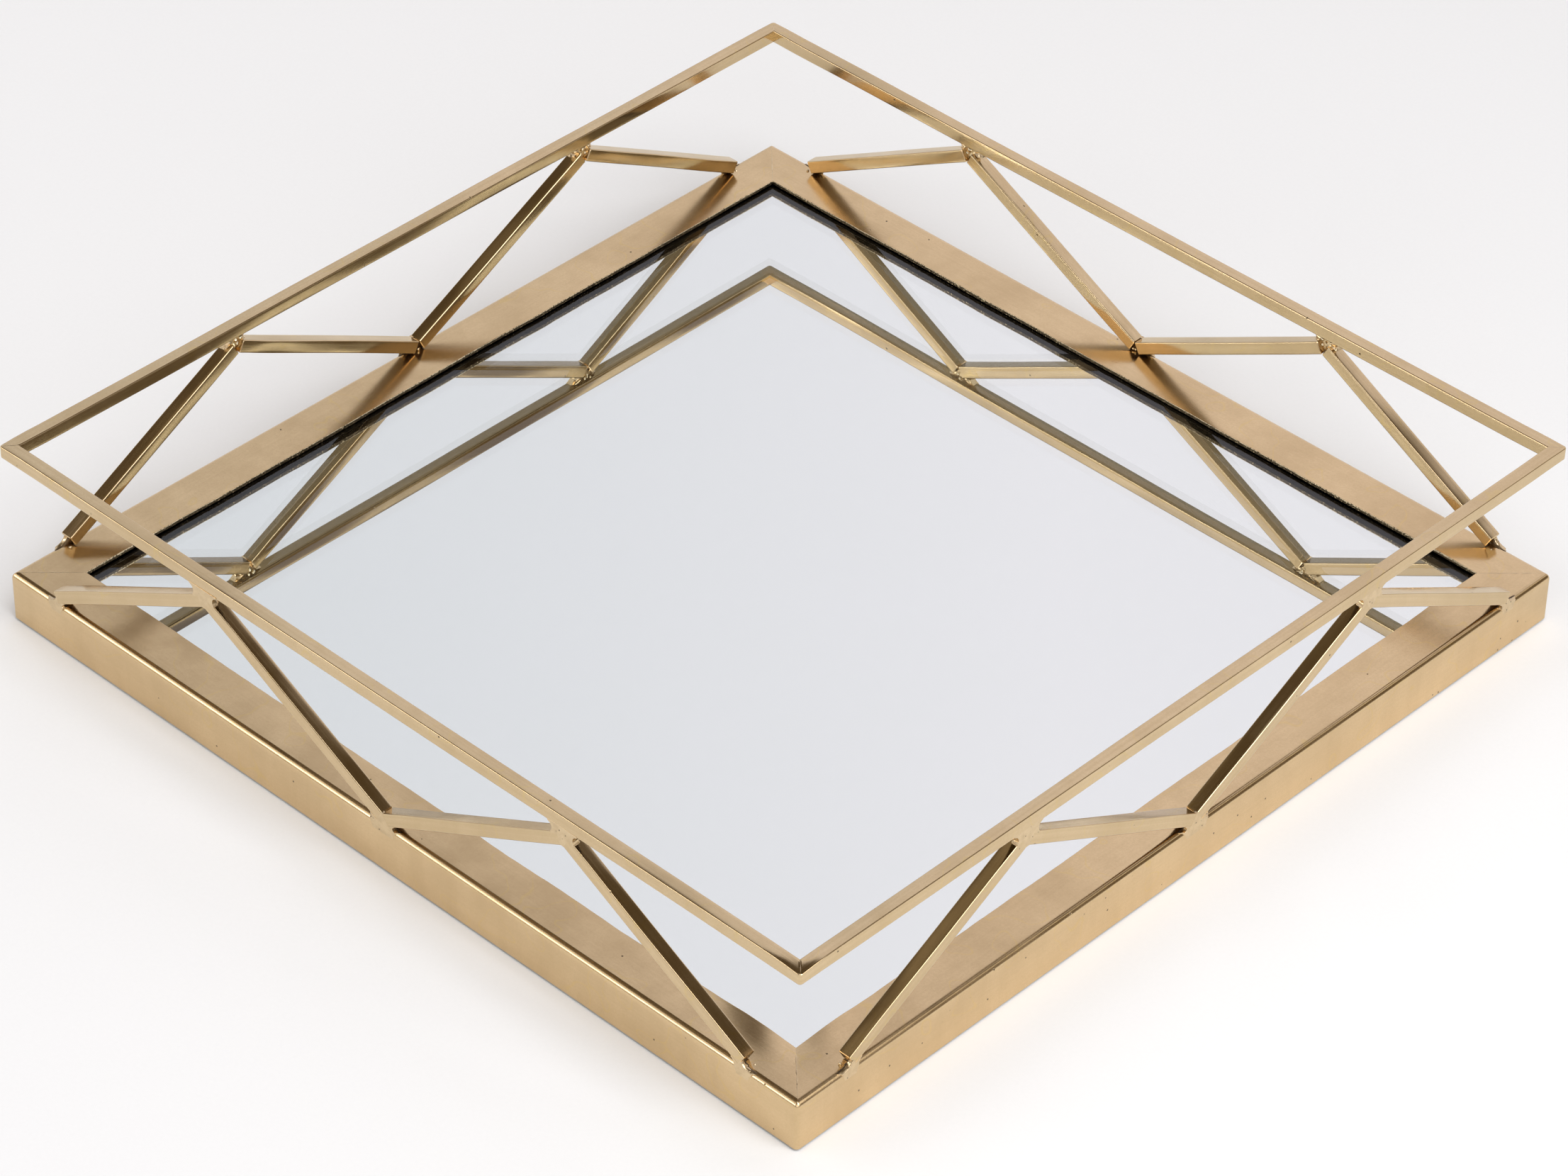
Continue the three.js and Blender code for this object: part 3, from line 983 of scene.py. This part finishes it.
def build_felt():
    """The felt under the board, laid flat, with a slightly uneven cut."""
    low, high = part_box("felt_pad")
    rings = slab_rings(high[0], low[2], high[2], 4.0 * MM, 0.7 * MM, 4, uneven=0.35 * MM)
    felt = make_piece("felt_sheet", rings, FELT, node="felt_pad")


def clip_section(low, high):
    """A folded strip as (inset, height): its foot runs inwards and its leg stands at the wall."""
    outer_bend = 1.1 * MM
    inner_bend = outer_bend - CLIP_SHEET
    soft = 0.12 * MM
    wall, tip = low[1], high[1]
    floor, crown = low[2], high[2]
    centre = (wall + outer_bend, floor + outer_bend)
    section = arc(centre, outer_bend, 180, 270, 6)
    section += arc((tip - soft, floor + soft), soft, 270, 360, 2)
    section += arc((tip - soft, floor + CLIP_SHEET - soft), soft, 0, 90, 2)
    section += arc(centre, inner_bend, 270, 180, 4)
    section += arc((wall + CLIP_SHEET - soft, crown - soft), soft, 0, 90, 2)
    section += arc((wall + soft, crown - soft), soft, 90, 180, 2)
    return section


def build_clip(side, end):
    """A folded clip, and the solder along the top of its leg."""
    low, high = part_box(f"board_clip_front_{end}")
    section = clip_section(low, high)
    stations = 8
    chamfer = 0.15 * MM
    width = high[0] - low[0]
    rings = []
    for i in range(stations + 1):
        along = low[0] + chamfer + (width - 2 * chamfer) * i / stations
        rings.append([Vector((along, inset, height)) for inset, height in section])
    name, node = f"clip_{side}_{end}", f"board_clip_{side}_{end}"
    make_piece(name, rings, CLIP_GOLD, side, node, grained=True)

    random.seed(900 + SIDES.index(side) * 2 + (end == "end"))
    shape = bmesh.new()
    for share in (0.12, 0.3, 0.52, 0.7, 0.88):
        centre = (low[0] + share * width, low[1] + random.uniform(0.2, 0.5) * MM, high[2] + 0.1 * MM)
        add_bead(shape, centre, (1.5 * MM, 0.55 * MM, 0.7 * MM), random.uniform(0, 50))
    finish_beads(f"clip_solder_{side}_{end}", shape, side)


# ---- studio

def direction(azimuth, elevation):
    """Unit vector from the tray. Azimuth 0 is the front (-Y) and 90 the right (+X), in degrees."""
    a, e = math.radians(azimuth), math.radians(elevation)
    return Vector((math.sin(a) * math.cos(e), -math.cos(a) * math.cos(e), math.sin(e)))


def soft_box(name, azimuth, elevation, distance, width, height, radiance, colour):
    """A flat light facing the tray, of the same brightness whatever its size."""
    light = bpy.data.lights.new(name, "AREA")
    light.shape = "RECTANGLE"
    light.size = width
    light.size_y = height
    light.energy = radiance * width * height * math.pi
    light.color = colour
    lamp = put_in_scene(name, light)
    away = direction(azimuth, elevation)
    lamp.location = away * distance
    lamp.rotation_euler = away.to_track_quat("Z", "Y").to_euler()


def far_light(name, azimuth, elevation, spread, irradiance, colour):
    """A wide soft light so far up that the floor is lit evenly out to the horizon."""
    light = bpy.data.lights.new(name, "SUN")
    light.angle = math.radians(spread)
    light.energy = irradiance
    light.color = colour
    lamp = put_in_scene(name, light)
    lamp.rotation_euler = direction(azimuth, elevation).to_track_quat("Z", "Y").to_euler()


def build_floor():
    """A wide flat sheet under the tray."""
    shape = bmesh.new()
    bmesh.ops.create_grid(shape, x_segments=6, y_segments=6, size=12.0)
    mesh = bpy.data.meshes.new("studio_floor")
    shape.to_mesh(mesh)
    shape.free()
    mesh.materials.append(floor_material())
    put_in_scene("studio_floor", mesh)


def build_lights():
    """Soft light from the left and the camera's side, a small one close on the right, and one
    far above."""
    warm, neutral = (1.0, 0.965, 0.95), (1.0, 0.985, 0.985)
    soft_box("key_left", 319, 28, 2.4, 1.45, 1.75, radiance=0.8, colour=warm)
    soft_box("low_strip_left", 320, 22.5, 2.2, 1.6, 0.32, radiance=4.4, colour=(1.0, 0.97, 0.94))
    soft_box("near_right", 88, 38, 0.75, 0.5, 0.4, radiance=2.3, colour=(1.0, 0.985, 0.98))
    soft_box("fill_camera_side", 43, 32, 3.2, 3.2, 2.2, radiance=1.0, colour=neutral)
    far_light("high_right", 90, 62, spread=34, irradiance=1.05, colour=neutral)


def build_surroundings():
    """As the camera sees it: pale screens ahead and behind, a dim warm wall with a bright band at
    either side, and a dark ceiling with a faint glow on the left and a pale panel overhead. All
    of it fades into the floor's tone at the horizon. height, right and back run from -1 to 1 and
    say how far the outlook is turned that way."""
    world = bpy.data.worlds.new("studio_surroundings")
    bpy.context.scene.world = world
    world.use_nodes = True
    tree = world.node_tree
    outlook = add_node(tree, "ShaderNodeTexCoord").outputs["Generated"]

    def towards(azimuth):
        node = add_node(tree, "ShaderNodeVectorMath", operation="DOT_PRODUCT")
        tree.links.new(outlook, node.inputs[0])
        node.inputs[1].default_value = direction(azimuth, 0)
        return node.outputs["Value"]

    height = axis(tree, outlook, "Z")
    right, back = towards(135), towards(225)

    glow_above = remap(tree, height, (0.79, 0.84))
    glow_on_left = remap(tree, right, (-0.45, -0.56))
    glow = calculate(tree, "MULTIPLY", glow_above, glow_on_left)
    ceiling = mix_colour(tree, glow, (0.10, 0.072, 0.04), (0.43, 0.36, 0.25))

    screen_side = remap(tree, right, (-0.08, 0.07))
    screen = mix_colour(tree, screen_side, (0.785, 0.787, 0.84), (0.93, 0.893, 0.955))

    wall_slant = calculate(tree, "ADD", height, remap(tree, back, (-0.2, 0.1), (-0.07, 0.035)))
    wall_light_band = remap(tree, wall_slant, (0.577, 0.584))
    wall = mix_colour(tree, wall_light_band, (0.15, 0.11, 0.068), (1.0, 0.93, 0.81))
    wall = mix_colour(tree, remap(tree, height, (0.635, 0.665)), wall, (0.105, 0.078, 0.046))

    facing_back = remap(tree, back, (0.21, 0.30), smooth=True)
    facing_front = remap(tree, back, (-0.30, -0.21), (0.62, 0.0), smooth=True)
    on_screen = calculate(tree, "ADD", facing_back, facing_front)
    air = mix_colour(tree, on_screen, wall, screen)

    top_edge = calculate(tree, "SUBTRACT", remap(tree, right, (-0.22, 0.12), (0.62, 0.80)), height)
    below_top = remap(tree, top_edge, (-0.02, 0.02), smooth=True)
    air = mix_colour(tree, below_top, ceiling, air)
    panel_overhead = remap(tree, height, (0.925, 0.945))
    air = mix_colour(tree, panel_overhead, air, (0.93, 0.92, 0.93))
    near_horizon = remap(tree, height, (0.015, 0.13), (1.0, 0.0), smooth=True)
    air = mix_colour(tree, near_horizon, air, (0.74, 0.73, 0.725))
    tree.links.new(air, tree.nodes["Background"].inputs["Color"])


def build_studio():
    """The floor, the lights and what the metal mirrors."""
    build_floor()
    build_lights()
    build_surroundings()
    bpy.context.scene.view_settings.view_transform = "Standard"


def build_camera():
    """The photograph's viewing angle: a long lens, held with a slight roll."""
    azimuth, elevation, roll = 43.405, 38.293, 1.02
    distance = 1.5694
    aim_height, aim_up, aim_right = 0.6 * MM, 7.9 * MM, 0.3 * MM
    lens = bpy.data.cameras.new("camera")
    lens.sensor_width = 36.0
    lens.lens = 130.2
    lens.clip_start = 0.05
    camera = put_in_scene("camera", lens)
    away = direction(azimuth, elevation)
    turn = away.to_track_quat("Z", "Y").to_matrix().to_4x4()
    right, up = turn.col[0].to_3d(), turn.col[1].to_3d()
    aim = Vector((0.0, 0.0, aim_height)) + up * aim_up + right * aim_right
    roll_turn = Matrix.Rotation(math.radians(roll), 4, "Z")
    camera.matrix_world = Matrix.Translation(aim + away * distance) @ turn @ roll_turn
    bpy.context.scene.camera = camera


# ---- build

build_camera()
build_studio()
for side in SIDES:
    build_rail(side)
    build_rim_bar(side)
    for number in STRUT_RISES_TOWARDS:
        build_strut(side, number)
    for end in ENDS:
        build_peak_filler(side, end)
    build_middle_filler(side)
    for end in ENDS:
        build_end_filler(side, end)
    build_beads(side)
    build_corner_seams(side)
    for end in ENDS:
        build_clip(side, end)
build_mirror()
build_board()
build_felt()
